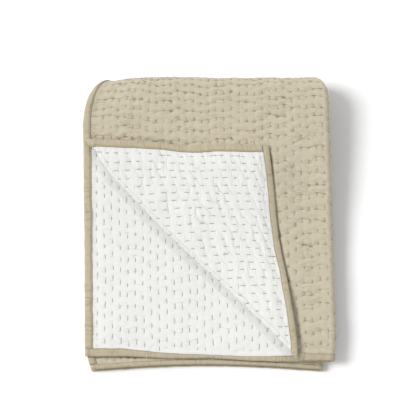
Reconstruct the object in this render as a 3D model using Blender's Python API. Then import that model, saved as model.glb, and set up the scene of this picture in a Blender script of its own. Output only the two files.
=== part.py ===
"""Kantha quilt, folded in quarters with one corner of the top layer turned back.

The quilt is two panels, a linen-coloured face and a white backing, held together by
rows of running stitch, with a narrow binding sewn round its four edges. Each piece is
modelled flat, cut along every line where the cloth bends, and then folded by the
same three bends: the corner up, the right half under, and the rear half under.
Metres, +Z up. The pile rests on z = 0, centred on the origin.
"""

import math

import bmesh
import bpy
from mathutils import Matrix, Vector

# The flat quilt: u runs across it, v from its front edge to its rear edge.
WIDTH = 0.914
LENGTH = 1.118
CLOTH_THICKNESS = 0.0080
EDGE_THICKNESS = 0.0044
PANEL_GAP = 0.0003
THIN_MARGIN = 0.0140
FULL_MARGIN = 0.036

# The binding: a doubled strip wrapped round each edge.
BINDING_WIDTH = 0.0120
BINDING_CLOTH = 0.0010
BINDING_CLEARANCE = 0.0005
BINDING_SEAT = 0.0008
BUTT_GAP = 0.0004

# The three bends. A rise is the distance between the middles of the two layers that a
# bend joins, and ease is 0 for a round bend and 1 for one that starts and ends gently.
# The corner is folded up over a line from one place along each of its two edges.
CORNER_ACROSS = 0.395
CORNER_ALONG = 0.409
CORNER_RISE = 0.0095
CORNER_SEGMENTS = 9
SIDE_RISE = 0.0110
SIDE_EASE = 0.15
SIDE_SEGMENTS = 8
BACK_RISE = 0.066
BACK_EASE = 0.60
BACK_SEGMENTS = 14
LOWER_PAIR_OVERHANG = 0.023

# How the pile settles: the springy back fold stays tall and the front lies down.
PAIR_SPACING = 0.0105
SETTLE_RUN = 0.330
UPPER_PAIR_LEFT_INSET = 0.010
UPPER_PAIR_RIGHT_INSET = -0.008
LOWER_PAIR_LEFT_INSET = 0.011
LOWER_PAIR_RIGHT_INSET = 0.018
UPPER_CORNER_INSET = 0.005
LOWER_CORNER_INSET = 0.010
FRONT_CORNER_RUN = 0.050
UPPER_FRONT_BOW = 0.010
UPPER_BOW_START = 0.13
UPPER_BOW_RUN = 0.33
LOWER_FRONT_BOW = 0.010
FRONT_FADE = 0.160

# The turned-back corner: drawn in across, with a bowed crease and sagging edges.
CORNER_GATHER = 0.217
CREASE_BOW = 0.0085
CREASE_BOW_SPREAD = 0.050
CREASE_BOW_RISE = 0.070
CREASE_BOW_RETURN = 0.240
CREASE_BOW_TOP = 0.392
CREASE_BOW_EASE = 0.030
RIGHT_EDGE_SAG = 0.0055
RIGHT_EDGE_SAG_PLACE = 0.220
RIGHT_EDGE_SAG_SPREAD = 0.080
TOP_EDGE_SAG = 0.0060
TOP_EDGE_SAG_PLACE = 0.225
TOP_EDGE_SAG_SPREAD = 0.055

# The rounded rear corners seen from above, one row for each: which side it is on, how
# far it is drawn in, how far it runs forward, and how far across it is felt.
REAR_CORNERS = (
    {"side": -1, "inset": 0.048, "run": 0.104, "spread": 0.170},
    {"side": 1, "inset": 0.028, "run": 0.046, "spread": 0.110},
)
DEEPEST = 0.985

# Slow waves in the height of the pile, as a part of the height.
WAVES = (
    {"size": 0.020, "across": 0.41, "along": 0.67, "phase": 0.4},
    {"size": 0.014, "across": -0.29, "along": 0.38, "phase": 2.1},
)

FLAT_SPACING = 0.062
TRAVEL_STEPS = 60
CUT_TOLERANCE = 0.000002

LINEN = (0.60, 0.55, 0.42)
LINEN_STRIP = (0.50, 0.45, 0.33)
WHITE = (0.86, 0.86, 0.84)
CLOTH_ROUGHNESS = 0.9
SHARP_ANGLE = math.radians(50.0)


def smooth(value):
    """Ease a value from 0 to 1, and hold it outside that range."""
    value = min(max(value, 0.0), 1.0)
    return value * value * (3.0 - 2.0 * value)


def turned(part, ease):
    """Angle that the cloth has turned after a part of a bend's length."""
    return math.pi * part - 0.5 * ease * math.sin(2.0 * math.pi * part)


def travel(part, ease):
    """Reach and drop of a bend of unit length, up to a part of it."""
    reach = 0.0
    drop = 0.0
    for step in range(TRAVEL_STEPS):
        angle = turned(part * (step + 0.5) / TRAVEL_STEPS, ease)
        reach += math.cos(angle) * part / TRAVEL_STEPS
        drop += math.sin(angle) * part / TRAVEL_STEPS
    return reach, drop


class Bend:
    """A half turn of the cloth: side is 1 where it folds up, and -1 where it folds down."""

    def __init__(self, rise, ease, side, segments):
        self.ease = ease
        self.side = side
        self.segments = segments
        self.length = rise / travel(1.0, ease)[1]
        self.start = 0.0

    def fold(self, along, height):
        """Carry a point round the bend: its distance along, and its height off the middle."""
        past = along - self.start
        if past <= 0.0:
            return along, height
        part = min(past / self.length, 1.0)
        beyond = max(past - self.length, 0.0)
        angle = turned(part, self.ease)
        reach, drop = travel(part, self.ease)
        lean = self.side * height * math.sin(angle)
        folded = self.start + reach * self.length - beyond - lean
        return folded, self.side * drop * self.length + height * math.cos(angle)

    def lines(self):
        """Distances along at which the cloth is cut to bend smoothly."""
        return [self.start + self.length * step / self.segments for step in range(self.segments + 1)]


CREASE_LENGTH = math.hypot(CORNER_ACROSS, CORNER_ALONG)
CREASE_NORMAL = (CORNER_ALONG / CREASE_LENGTH, CORNER_ACROSS / CREASE_LENGTH)
CORNER = Bend(CORNER_RISE, 0.0, 1, CORNER_SEGMENTS)
CORNER.start = -CORNER_ACROSS * CORNER_ALONG / CREASE_LENGTH

SIDE = Bend(SIDE_RISE, SIDE_EASE, -1, SIDE_SEGMENTS)
SIDE.start = (WIDTH - SIDE.length) / 2.0

BACK = Bend(BACK_RISE, BACK_EASE, -1, BACK_SEGMENTS)
BACK.start = (LENGTH - BACK.length - LOWER_PAIR_OVERHANG) / 2.0

HALF_WIDTH = SIDE.start + SIDE_RISE / 2.0 + CLOTH_THICKNESS / 2.0
BACK_REACH = travel(0.5, BACK_EASE)[0] * BACK.length
REAR = BACK.start + BACK_REACH
FLOOR_LIFT = BACK_RISE + CLOTH_THICKNESS / 2.0
MIDDLE_HEIGHT = FLOOR_LIFT - BACK_RISE / 2.0
SETTLE_DROP = BACK_RISE - 2.0 * SIDE_RISE - PAIR_SPACING


def turn_corner(u, v, h):
    """Fold the front left corner up over the crease, and let it gather and wander."""
    flat_along = -(u * CREASE_NORMAL[0] + v * CREASE_NORMAL[1])
    along, z = CORNER.fold(flat_along, h)
    across = v * CREASE_NORMAL[0] - u * CREASE_NORMAL[1]
    x = -along * CREASE_NORMAL[0] - across * CREASE_NORMAL[1]
    y = across * CREASE_NORMAL[0] - along * CREASE_NORMAL[1]
    over = smooth((flat_along - CORNER.start) / CORNER.length)
    past_crease = x * CREASE_NORMAL[0] + y * CREASE_NORMAL[1] + CORNER.start
    bow = CREASE_BOW * math.exp(-(past_crease / CREASE_BOW_SPREAD) ** 2)
    bow *= smooth(x / CREASE_BOW_RISE) * smooth((CORNER_ACROSS - x) / CREASE_BOW_RETURN)
    bow *= smooth((CREASE_BOW_TOP - y) / CREASE_BOW_EASE)
    gather = CORNER_GATHER * past_crease
    gather += RIGHT_EDGE_SAG * math.exp(-((y - RIGHT_EDGE_SAG_PLACE) / RIGHT_EDGE_SAG_SPREAD) ** 2)
    sag = TOP_EDGE_SAG * smooth(3.0 * y / CORNER_ALONG - 2.0)
    sag *= math.exp(-((x - TOP_EDGE_SAG_PLACE) / TOP_EDGE_SAG_SPREAD) ** 2)
    return x - bow - gather * over, y - bow - sag * over, z


def settle_pairs(x, y, z):
    """Lay the front of the pile down, and slide its two pairs of layers a little apart."""
    forward = BACK.start - y
    if forward <= 0.0:
        return x, y, z
    share = min(forward / BACK.start, 1.0)
    fade = smooth((FRONT_FADE - y) / FRONT_FADE)
    place = x / HALF_WIDTH
    if z > MIDDLE_HEIGHT:
        squeeze = (UPPER_PAIR_LEFT_INSET + UPPER_PAIR_RIGHT_INSET) * place
        tip = min(max(1.0 - y / FRONT_CORNER_RUN, 0.0), 1.0)
        inset = UPPER_CORNER_INSET * tip * tip * smooth(2.0 * place - 1.0)
        bow = UPPER_FRONT_BOW * smooth((place - UPPER_BOW_START) / UPPER_BOW_RUN)
        sunk = SETTLE_DROP * smooth(forward / SETTLE_RUN)
        return x + (UPPER_PAIR_LEFT_INSET - squeeze) * share - inset, y - bow * fade, z - sunk
    squeeze = (LOWER_PAIR_LEFT_INSET + LOWER_PAIR_RIGHT_INSET) * place
    tip = min(max(1.0 - (y + LOWER_PAIR_OVERHANG) / FRONT_CORNER_RUN, 0.0), 1.0)
    inset = LOWER_CORNER_INSET * tip * tip * smooth(1.0 - 2.0 * place)
    bow = LOWER_FRONT_BOW * math.sin(math.pi * min(max(place, 0.0), 1.0))
    return x + (LOWER_PAIR_LEFT_INSET - squeeze) * share + inset, y + bow * fade, z


def round_rear_corners(x, v):
    """Draw the two rear corners of the pile in, as a quarter of an ellipse each."""
    middle_y = BACK.fold(v, 0.0)[0]
    for corner in REAR_CORNERS:
        depth = min(max((middle_y - REAR + corner["run"]) / corner["run"], 0.0), DEEPEST)
        inset = corner["inset"] * (1.0 - math.sqrt(1.0 - depth * depth))
        from_side = x if corner["side"] < 0 else HALF_WIDTH - x
        x -= corner["side"] * inset * smooth(1.0 - from_side / corner["spread"])
    return x


def wave(x, y):
    """Slow unevenness of the pile's height, as a factor close to 1."""
    total = 1.0
    for row in WAVES:
        turns = x / row["across"] + y / row["along"]
        total += row["size"] * math.sin(2.0 * math.pi * turns + row["phase"])
    return total


def place_in_pile(u, v, h):
    """Where a point of the flat quilt, h off its middle, lies in the folded pile."""
    x, y, z = u, v, h
    if u < SIDE.start and v < BACK.start:
        x, y, z = turn_corner(u, v, h)
    x, z = SIDE.fold(x, z)
    x = round_rear_corners(x, v)
    y, z = BACK.fold(y, z)
    x, y, z = settle_pairs(x, y, z + FLOOR_LIFT)
    return Vector((x, y, z * wave(x, y)))


def spread_lines(low, high):
    """Lines a flat spacing apart between two places, leaving those two out."""
    count = max(round((high - low) / FLAT_SPACING), 1)
    return [low + (high - low) * step / count for step in range(1, count)]


def straight_lines(size, bend):
    """Places across one side of the flat quilt at which every piece is cut."""
    margins = [0.0, BINDING_WIDTH, THIN_MARGIN, FULL_MARGIN]
    end = bend.start + bend.length
    lines = margins + [size - margin for margin in margins] + bend.lines()
    return lines + spread_lines(FULL_MARGIN, bend.start) + spread_lines(end, size - FULL_MARGIN)


def cut(bm, point, normal, **options):
    """Cut all of a mesh along a plane."""
    geometry = bm.verts[:] + bm.edges[:] + bm.faces[:]
    return bmesh.ops.bisect_plane(
        bm, geom=geometry, dist=CUT_TOLERANCE, plane_co=point, plane_no=normal, **options)


def cut_fold_lines(bm):
    """Cut a flat piece along the bends and the margins, and make it triangles."""
    for u in straight_lines(WIDTH, SIDE):
        cut(bm, (u, 0.0, 0.0), (1.0, 0.0, 0.0))
    for v in straight_lines(LENGTH, BACK):
        cut(bm, (0.0, v, 0.0), (0.0, 1.0, 0.0))
    for line in CORNER.lines():
        cut(bm, (-line / CREASE_NORMAL[0], 0.0, 0.0), (*CREASE_NORMAL, 0.0))
    bmesh.ops.triangulate(bm, faces=bm.faces[:], quad_method="FIXED", ngon_method="EAR_CLIP")


def half_thickness(u, v):
    """Half the quilt's thickness: pressed thin at the binding, full a little further in."""
    from_edge = min(u, WIDTH - u, v, LENGTH - v)
    share = smooth((from_edge - THIN_MARGIN) / (FULL_MARGIN - THIN_MARGIN))
    return (EDGE_THICKNESS + (CLOTH_THICKNESS - EDGE_THICKNESS) * share) / 2.0


def flat_panel(side):
    """One panel, flat: side is 1 for the face above the middle, and -1 for the backing."""
    bm = bmesh.new()
    bmesh.ops.create_grid(bm, x_segments=1, y_segments=1, size=0.5)
    bmesh.ops.translate(bm, verts=bm.verts, vec=(0.5, 0.5, 0.0))
    bmesh.ops.scale(bm, verts=bm.verts, vec=(WIDTH, LENGTH, 1.0))
    cut_fold_lines(bm)
    bmesh.ops.solidify(bm, geom=bm.faces[:], thickness=1.0)
    bmesh.ops.recalc_face_normals(bm, faces=bm.faces)
    middle = sum(vert.co.z for vert in bm.verts) / len(bm.verts)
    for vert in bm.verts:
        thick = half_thickness(vert.co.x, vert.co.y)
        outer = (vert.co.z > middle) == (side > 0)
        vert.co.z = side * (thick if outer else PANEL_GAP / 2.0)
    return bm


def flat_binding(length):
    """A binding strip along +X from 0, flat, its mouth towards +Y, with closed ends."""
    half = EDGE_THICKNESS / 2.0 + BINDING_CLEARANCE + BINDING_CLOTH
    wrap = BINDING_SEAT + BINDING_CLOTH
    bm = bmesh.new()
    bmesh.ops.create_cube(bm, size=1.0)
    bmesh.ops.translate(bm, verts=bm.verts, vec=(0.5, 0.5, 0.0))
    bmesh.ops.scale(bm, verts=bm.verts, vec=(length + 2.0 * wrap, BINDING_WIDTH + wrap, 2.0 * half))
    bmesh.ops.translate(bm, verts=bm.verts, vec=(-wrap, -wrap, 0.0))
    mouth = [face for face in bm.faces if face.normal.y > 0.5]
    bmesh.ops.inset_region(bm, faces=mouth, thickness=BINDING_CLOTH, use_even_offset=True)
    pocket = bmesh.ops.extrude_discrete_faces(bm, faces=mouth)["faces"]
    walls = [vert for face in pocket for vert in face.verts]
    bmesh.ops.translate(bm, verts=walls, vec=(0.0, -BINDING_WIDTH - BINDING_SEAT, 0.0))
    return bm


def trim_ends(bm, low, high):
    """Cut a strip that runs along X off square at two places, and close the cuts."""
    for place, outwards in ((low, -1.0), (high, 1.0)):
        result = cut(bm, (place, 0.0, 0.0), (outwards, 0.0, 0.0), clear_outer=True)
        edges = [item for item in result["geom_cut"] if isinstance(item, bmesh.types.BMEdge)]
        bmesh.ops.edgeloop_fill(bm, edges=edges)


def quarter_turns(count):
    """A turn about Z by a number of right angles."""
    return Matrix.Rotation(count * math.pi / 2.0, 3, "Z")


def end_binding(rear):
    """Binding of the front or the rear edge: it runs full width and caps the corners."""
    bm = flat_binding(WIDTH)
    if rear:
        bmesh.ops.rotate(bm, verts=bm.verts, cent=(0.0, 0.0, 0.0), matrix=quarter_turns(2))
        bmesh.ops.translate(bm, verts=bm.verts, vec=(WIDTH, LENGTH, 0.0))
    cut_fold_lines(bm)
    return bm


def side_binding(right):
    """Binding of the left or the right edge: it butts against the two end strips."""
    bm = flat_binding(LENGTH)
    butt = BINDING_WIDTH + BUTT_GAP
    trim_ends(bm, butt, LENGTH - butt)
    turns, corner = (1, (WIDTH, 0.0, 0.0)) if right else (-1, (0.0, LENGTH, 0.0))
    bmesh.ops.rotate(bm, verts=bm.verts, cent=(0.0, 0.0, 0.0), matrix=quarter_turns(turns))
    bmesh.ops.translate(bm, verts=bm.verts, vec=corner)
    cut_fold_lines(bm)
    return bm


def cloth_material(name, colour):
    """A matt cloth colour."""
    material = bpy.data.materials.new(name)
    material.use_nodes = True
    shader = material.node_tree.nodes["Principled BSDF"]
    shader.inputs["Base Color"].default_value = (*colour, 1.0)
    shader.inputs["Roughness"].default_value = CLOTH_ROUGHNESS
    shader.inputs["Metallic"].default_value = 0.0
    material.diffuse_color = (*colour, 1.0)
    return material


def fold_piece(name, bm, material, collection):
    """Fold a flat piece into the pile and make it an object."""
    for vert in bm.verts:
        vert.co = place_in_pile(*vert.co)
    mesh = bpy.data.meshes.new(name)
    bm.to_mesh(mesh)
    bm.free()
    mesh.materials.append(material)
    mesh.shade_smooth()
    mesh.set_sharp_from_angle(angle=SHARP_ANGLE)
    piece = bpy.data.objects.new(name, mesh)
    collection.objects.link(piece)
    return piece


def centre_on_origin(pieces):
    """Move all the pieces so that the pile's box is centred over the origin, on z = 0."""
    corners = [vert.co for piece in pieces for vert in piece.data.vertices]
    low = Vector([min(corner[axis] for corner in corners) for axis in range(3)])
    high = Vector([max(corner[axis] for corner in corners) for axis in range(3)])
    shift = Vector((-(low.x + high.x) / 2.0, -(low.y + high.y) / 2.0, -low.z))
    for piece in pieces:
        for vert in piece.data.vertices:
            vert.co += shift


def main():
    for stale in list(bpy.data.objects):
        bpy.data.objects.remove(stale, do_unlink=True)
    collection = bpy.data.collections.new("kantha_quilt")
    bpy.context.scene.collection.children.link(collection)

    linen = cloth_material("linen_cloth", LINEN)
    strip = cloth_material("linen_binding", LINEN_STRIP)
    white = cloth_material("white_cloth", WHITE)
    pieces = [
        fold_piece("face_cloth", flat_panel(1), linen, collection),
        fold_piece("backing_cloth", flat_panel(-1), white, collection),
        fold_piece("binding_front_edge", end_binding(False), strip, collection),
        fold_piece("binding_rear_edge", end_binding(True), strip, collection),
        fold_piece("binding_left_edge", side_binding(False), strip, collection),
        fold_piece("binding_right_edge", side_binding(True), strip, collection),
    ]
    centre_on_origin(pieces)


main()
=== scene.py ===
"""Looks of the folded kantha quilt.

Every piece is made flat, in the quilt's own measure (u across, v from front to rear,
h off the middle of the cloth), and then folded into the pile by the same three bends
as the solids: the corner up, the right half under, and the rear half under. Metres.
"""

import math

import bmesh
import bpy
import numpy as np
from mathutils import Matrix, Vector, noise


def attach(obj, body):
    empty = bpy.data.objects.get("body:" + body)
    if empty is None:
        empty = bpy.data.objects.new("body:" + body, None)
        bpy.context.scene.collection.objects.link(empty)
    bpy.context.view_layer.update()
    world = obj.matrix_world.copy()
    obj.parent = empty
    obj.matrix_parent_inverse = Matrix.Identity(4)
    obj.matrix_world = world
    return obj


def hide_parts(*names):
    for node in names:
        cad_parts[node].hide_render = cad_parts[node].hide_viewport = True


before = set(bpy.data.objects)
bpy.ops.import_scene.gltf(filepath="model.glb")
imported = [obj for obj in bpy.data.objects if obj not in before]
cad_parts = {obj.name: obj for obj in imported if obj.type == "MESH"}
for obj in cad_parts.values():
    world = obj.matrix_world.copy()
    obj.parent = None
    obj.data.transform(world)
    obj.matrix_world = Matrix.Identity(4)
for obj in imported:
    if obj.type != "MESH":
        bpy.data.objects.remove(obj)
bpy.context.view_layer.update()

# The flat quilt and its binding, as the solids have them.
WIDTH = 0.914
LENGTH = 1.118
CLOTH_THICKNESS = 0.0080
EDGE_THICKNESS = 0.0044
THIN_MARGIN = 0.0140
FULL_MARGIN = 0.036
BINDING_WIDTH = 0.0120
BINDING_SEAT = 0.0008
BINDING_CLOTH = 0.0010
BUTT_GAP = 0.0004

# The three bends and the way the pile settles, as the solids have them.
CORNER_ACROSS = 0.395
CORNER_ALONG = 0.409
CORNER_RISE = 0.0095
SIDE_RISE = 0.0110
SIDE_EASE = 0.15
BACK_RISE = 0.066
BACK_EASE = 0.60
LOWER_PAIR_OVERHANG = 0.023
PAIR_SPACING = 0.0105
SETTLE_RUN = 0.330
UPPER_PAIR_LEFT_INSET = 0.010
UPPER_PAIR_RIGHT_INSET = -0.008
LOWER_PAIR_LEFT_INSET = 0.011
LOWER_PAIR_RIGHT_INSET = 0.018
UPPER_CORNER_INSET = 0.005
LOWER_CORNER_INSET = 0.010
FRONT_CORNER_RUN = 0.050
UPPER_FRONT_BOW = 0.010
UPPER_BOW_START = 0.13
UPPER_BOW_RUN = 0.33
LOWER_FRONT_BOW = 0.010
FRONT_FADE = 0.160
CORNER_GATHER = 0.217
CREASE_BOW = 0.0085
CREASE_BOW_SPREAD = 0.050
CREASE_BOW_RISE = 0.070
CREASE_BOW_RETURN = 0.240
CREASE_BOW_TOP = 0.392
CREASE_BOW_EASE = 0.030
RIGHT_EDGE_SAG = 0.0055
RIGHT_EDGE_SAG_PLACE = 0.220
RIGHT_EDGE_SAG_SPREAD = 0.080
TOP_EDGE_SAG = 0.0060
TOP_EDGE_SAG_PLACE = 0.225
TOP_EDGE_SAG_SPREAD = 0.055
REAR_CORNERS = (
    {"side": -1, "inset": 0.048, "run": 0.104, "spread": 0.170},
    {"side": 1, "inset": 0.028, "run": 0.046, "spread": 0.110},
)
DEEPEST = 0.985
WAVES = (
    {"size": 0.020, "across": 0.41, "along": 0.67, "phase": 0.4},
    {"size": 0.014, "across": -0.29, "along": 0.38, "phase": 2.1},
)
PILE_SHIFT = (-0.231695, -0.254940, 0.0)
TRAVEL_STEPS = 400
# What the cloth's edges do beyond the solids, a few millimetres each: the rear edge is drawn
# forwards near its left corner, the front edge rolls down from beside the side fold and is drawn
# in on the layer that is folded under, and the turned-back corner's hems settle.
# Here and below, a name that ends in IN tells where something fades in: the place where it
# starts, and its run. One that ends in OUT tells where it fades out: the place where it has
# ended, and the run before that.
REAR_DRAW = 0.0085
REAR_DRAW_START = 0.380
REAR_DRAW_SPREAD = 0.125
FRONT_ROLL = 0.0042
FRONT_ROLL_IN = (0.385, 0.025)
FRONT_ROLL_OUT = (0.530, 0.025)
FRONT_ROLL_KEPT = 0.55
FRONT_ROLL_RUN = 0.015
FRONT_DRAW = 0.0060
FRONT_DRAW_PLACE = 0.700
FRONT_DRAW_SPREAD = 0.070
FRONT_DRAW_RUN = 0.030
HEM_SETTLE = 0.0034
HEM_SETTLE_RUN = 0.026
HEM_SETTLE_LOSS = 0.8
HEM_SETTLE_LOSS_IN = (0.200, 0.110)

# Quilting: columns of running stitch from front to rear, u across them and v along them, with
# more stitches to a column at the pile's rear.
COLUMNS = 65
COLUMN = WIDTH / COLUMNS
PITCH = 0.0224
FIRST_DASH = 0.020
REAR_EXTRA = 1.4
REAR_EXTRA_IN = (0.41, 0.15)
ROWS = int((LENGTH - FIRST_DASH) / PITCH + REAR_EXTRA) + 1
SETTLING_ROUNDS = 12
EDGE_STRAIGHT_RUN = 0.020
ROW_WAVER = 0.08

# How far neighbouring columns are out of step, as parts of the pitch: everywhere, more at the
# pile's right (it fades in with u and out with v), and most from the side fold on.
STAGGER = 0.11
RIGHT_STAGGER = 0.09
RIGHT_STAGGER_IN = (0.30, 0.06)
RIGHT_STAGGER_OUT = (0.50, 0.10)
FOLDED_STAGGER = 0.04
FOLDED_STAGGER_RUN = 0.030

# What differs between the face (1) and the backing (-1): their visible stitches, and how deep
# their creases from stitch to stitch, sewn columns, stitches' dents, wrinkles and ridges are.
DASH = {1: 0.0084, -1: 0.0122}
THREAD_WIDTH = {1: 0.0017, -1: 0.0015}
CREASE_DEPTH = {1: 0.0017, -1: 0.00025}
COLUMN_DEPTH = {1: 0.0008, -1: 0.00025}
DENT_DEPTH = {1: 0.0003, -1: 0.00025}
WRINKLE_DEPTH = {1: 0.0010, -1: 0.0005}
RIDGE_DEPTH = {1: 0.0007, -1: 0.00015}

# A stitch's thread: it stands on the cloth, its ends sink in, and it stays off the binding by
# a part of its own length.
THREAD_HEIGHT = 0.0010
THREAD_LIFT = 0.0003
THREAD_SINK = 0.0010
THREAD_CLEARANCE = 0.45

# The creases' strength: what it usually is, how much it varies and its limits. It is full at a
# column and less between two, less in the turned-back corner and where a row climbs, and more at
# the rear. The tilting is how sharply creases change from one end of their stitches to the other.
CREASE_USUAL = 0.80
CREASE_VARIETY = 0.65
CREASE_LIMITS = (0.12, 1.5)
CREASE_BETWEEN = 0.45
CREASE_NEAR_WIDTH = 0.0048
CREASE_CORNER_LOSS = 0.7
CREASE_TILTING = 4.0
STEEPEST_ROW = 0.70
REAR_CREASING = 0.7
REAR_CREASING_IN = (0.46, 0.07)
REAR_CREASING_OUT = (0.64, 0.04)

# The rest of the relief: the dents' width and their reach in stitch lengths, how the face's
# columns deepen towards the pile's left, the ridges, the swells, and where it all sets in
# from the edge.
DENT_WIDTH = 0.0021
DENT_REACH = 0.80
DENT_EASE = 0.5
PUFFED_OUT = (0.40, 0.25)
PUFFED_BACKING = 0.7
RIDGE_SHARPNESS = 2.4
SWELL_DEPTH = 0.0012
RELIEF_IN = (BINDING_WIDTH * 0.5, 0.012)

# The ripples of the turned-back corner: how far they lean, how deep they are and how they warp.
# Their strength has a usual value, a variety in slanting patches, and limits, and grows from the
# crease over a run.
RIPPLE_LEAN = 0.47
RIPPLE_DEPTH = 0.0014
RIPPLE_WARP = 0.42
RIPPLE_FINE_WARP = 0.18
RIPPLE_USUAL = 0.55
RIPPLE_VARIETY = 0.75
RIPPLE_LIMITS = (0.0, 1.3)
RIPPLE_SLANT = 0.5
RIPPLE_RUN = 0.060

# The line pressed into the turned-back corner beside its fold.
PRESSED_PLACE = 0.0155
PRESSED_WIDTH = 0.0026
PRESSED_DEPTH = 0.0010
PRESSED_WANDER = 0.0016

# The share of the turned-back corner's hems that the face follows. At the right hem it swells
# past the hem, is pressed down under it, has a groove along the hem's front part, and small folds
# at the front edge, whose radian is a run in metres.
HEM_FOLLOWED = 0.97
HEM_SAMPLES = 60
HEM_SWELL = 0.0030
HEM_SWELL_PLACE = 0.0070
HEM_SWELL_WIDTH = 0.0036
HEM_SWELL_FAR_WIDTH = HEM_SWELL_WIDTH * 8.0
HEM_SWELL_IN = (0.110, 0.060)
HEM_SWELL_PAST_END = 0.004
HEM_SWELL_END_RUN = 0.015
HEM_PRESS = 0.0024
HEM_PRESS_OUTSIDE = 0.003
HEM_PRESS_UNDER = 0.034
HEM_PRESS_EASE = 0.010
HEM_PRESS_IN = (0.030, 0.060)
GROOVE_DEPTH = 0.0035
GROOVE_PLACE = 0.003
GROOVE_WIDTH = 0.006
GROOVE_IN = (0.0, 0.020)
GROOVE_OUT = (0.120, 0.040)
FOLD_HEIGHT = 0.0007
FOLD_RADIAN = 0.0016
FOLD_WANDER = 2.0
FOLD_FRONT_OUT = (0.050, 0.030)
FOLD_IN = (0.395, 0.010)
FOLD_OUT = (0.470, 0.010)

# The face dips behind the turned-back corner's rear hem. However it is pressed or creased, the
# cloth keeps its thinnest measure.
HEM_DIP = 0.0040
HEM_DIP_WIDTH = 0.0075
HEM_DIP_START = -0.004
HEM_DIP_IN = (0.010, 0.030)
HEM_DIP_OUT = (0.200, 0.040)
THINNEST = 0.0026

# The puffed roll of cloth along the rear edge, which shows in front of the pile. It fades in
# past the side fold.
ROLL_HEIGHT = 0.0042
ROLL_PLACE = 0.0130
ROLL_WIDTH = 0.0052
ROLL_FAR_WIDTH = ROLL_WIDTH * 2.3
ROLL_USUAL = 0.70
ROLL_VARIETY = 0.30
ROLL_IN = (0.003, 0.008)
ROLL_OUT = (WIDTH - BINDING_WIDTH, 0.010)

# The binding strips: the room under their cloth, the depth of their nose, how the cloth is
# crimped, wavers in its inner part and puckers in its outer part, and how closed ends are rounded.
BINDING_ROOM = 0.0004
NOSE_DEPTH = 0.0022
STRIP_CRIMP = 0.0005
STRIP_FINE_CRIMP = 0.0003
STRIP_WAVER = 0.0007
STRIP_WAVER_FROM = BINDING_WIDTH * 0.7
STRIP_PUCKER = 0.0010
STRIP_PUCKER_TO = BINDING_WIDTH * 0.2
STRIP_END_RUN = 0.0020
STRIP_END_LEAST = 0.08
WELD_DISTANCE = 0.000005

# How much of their width the strips are rolled in by, and where.
FRONT_NARROWING = 0.36
FRONT_NARROWING_PLACE = 0.665
FRONT_NARROWING_SPREAD = 0.100
FRONT_SLIGHT_NARROWING = 0.20
FRONT_SLIGHT_IN = (0.395, 0.020)
FRONT_SLIGHT_OUT = (0.860, 0.080)
REAR_NARROWING = 0.38
REAR_NARROWING_RUN = 0.020
REAR_FURTHER_NARROWING = 0.10
REAR_FURTHER_OUT = (0.660, 0.150)
LEFT_NARROWING = 0.45
LEFT_NARROWING_PLACE = 0.545
LEFT_NARROWING_SPREAD = 0.070
RIGHT_REACH_RUN = 0.030

# Patches of unevenness: their size across the quilt and along it, or along a strip and across
# it, and their seed.
NOISE_GAIN = 1.6
ROW_PATCHES = (0.015, 0.015, 3.0)
TILT_PATCHES = (0.070, 0.026, 31.0)
CREASE_PATCHES = (0.030, 0.022, 5.0)
WRINKLE_PATCHES = (0.015, 0.0065, 14.0)
RIDGE_PATCHES = (0.021, 0.0165, 71.0)
SWELL_PATCHES = (0.055, 0.040, 24.0)
WARP_PATCHES = (0.045, 0.030, 41.0)
FINE_WARP_PATCHES = (0.018, 0.014, 43.0)
RIPPLE_PATCHES = (0.080, 0.030, 47.0)
PRESSED_PATCHES = (0.030, 0.030, 51.0)
ROLL_PATCHES = (0.0085, 0.0120, 61.0)
FOLD_PATCHES = (0.030, 0.040, 81.0)
STRIP_CRIMP_PATCHES = (0.0075, 0.0040, 0.0)
STRIP_FINE_PATCHES = (0.0040, 0.0080, 4.0)
STRIP_WAVER_PATCHES = (0.035, 1.0, 7.0)
STRIP_PUCKER_PATCHES = (0.020, 1.0, 9.0)

# Mesh spacings along the stitch lines and across them: fine where the pile shows.
STITCH_SIDE = 0.0019
FINE_ALONG = 0.0022
COARSE_ALONG = 0.0090
FACE_HIDDEN_START = 0.615
FACE_HIDDEN_END = 1.070
BACKING_HIDDEN_START = 0.425
STRIP_SPACING = 0.0030
THREAD_SIDES = 5


def smooth(value):
    """Ease a value from 0 to 1, and hold it outside that range."""
    value = np.clip(value, 0.0, 1.0)
    return value * value * (3.0 - 2.0 * value)


def fade_in(value, ramp):
    """0 up to a place, and 1 from a run after it."""
    place, run = ramp
    return smooth((value - place) / run)


def fade_out(value, ramp):
    """1 up to a run before a place, and 0 from that place on."""
    place, run = ramp
    return smooth((place - value) / run)


def bell(distance, spread):
    """1 at no distance, fading to nothing on both sides."""
    return np.exp(-(distance / spread) ** 2)


class Bend:
    """A half turn of the cloth: side is 1 where it folds up, and -1 where it folds down."""

    def __init__(self, rise, ease, side):
        self.ease = ease
        self.side = side
        self.parts = np.linspace(0.0, 1.0, TRAVEL_STEPS + 1)
        angles = self.turned(self.parts[:-1] + 0.5 / TRAVEL_STEPS)
        self.reach = np.concatenate(([0.0], np.cumsum(np.cos(angles)))) / TRAVEL_STEPS
        self.drop = np.concatenate(([0.0], np.cumsum(np.sin(angles)))) / TRAVEL_STEPS
        self.length = rise / self.drop[-1]
        self.start = 0.0

    def turned(self, part):
        return math.pi * part - 0.5 * self.ease * np.sin(2.0 * math.pi * part)

    def fold(self, along, height):
        """Carry points round the bend: their distance along, and their height off the middle."""
        past = along - self.start
        part = np.clip(past / self.length, 0.0, 1.0)
        beyond = np.maximum(past - self.length, 0.0)
        angle = self.turned(part)
        reach = np.interp(part, self.parts, self.reach) * self.length
        drop = np.interp(part, self.parts, self.drop) * self.length
        folded = np.minimum(along, self.start) + reach - beyond - self.side * height * np.sin(angle)
        return folded, self.side * drop + height * np.cos(angle)


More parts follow.
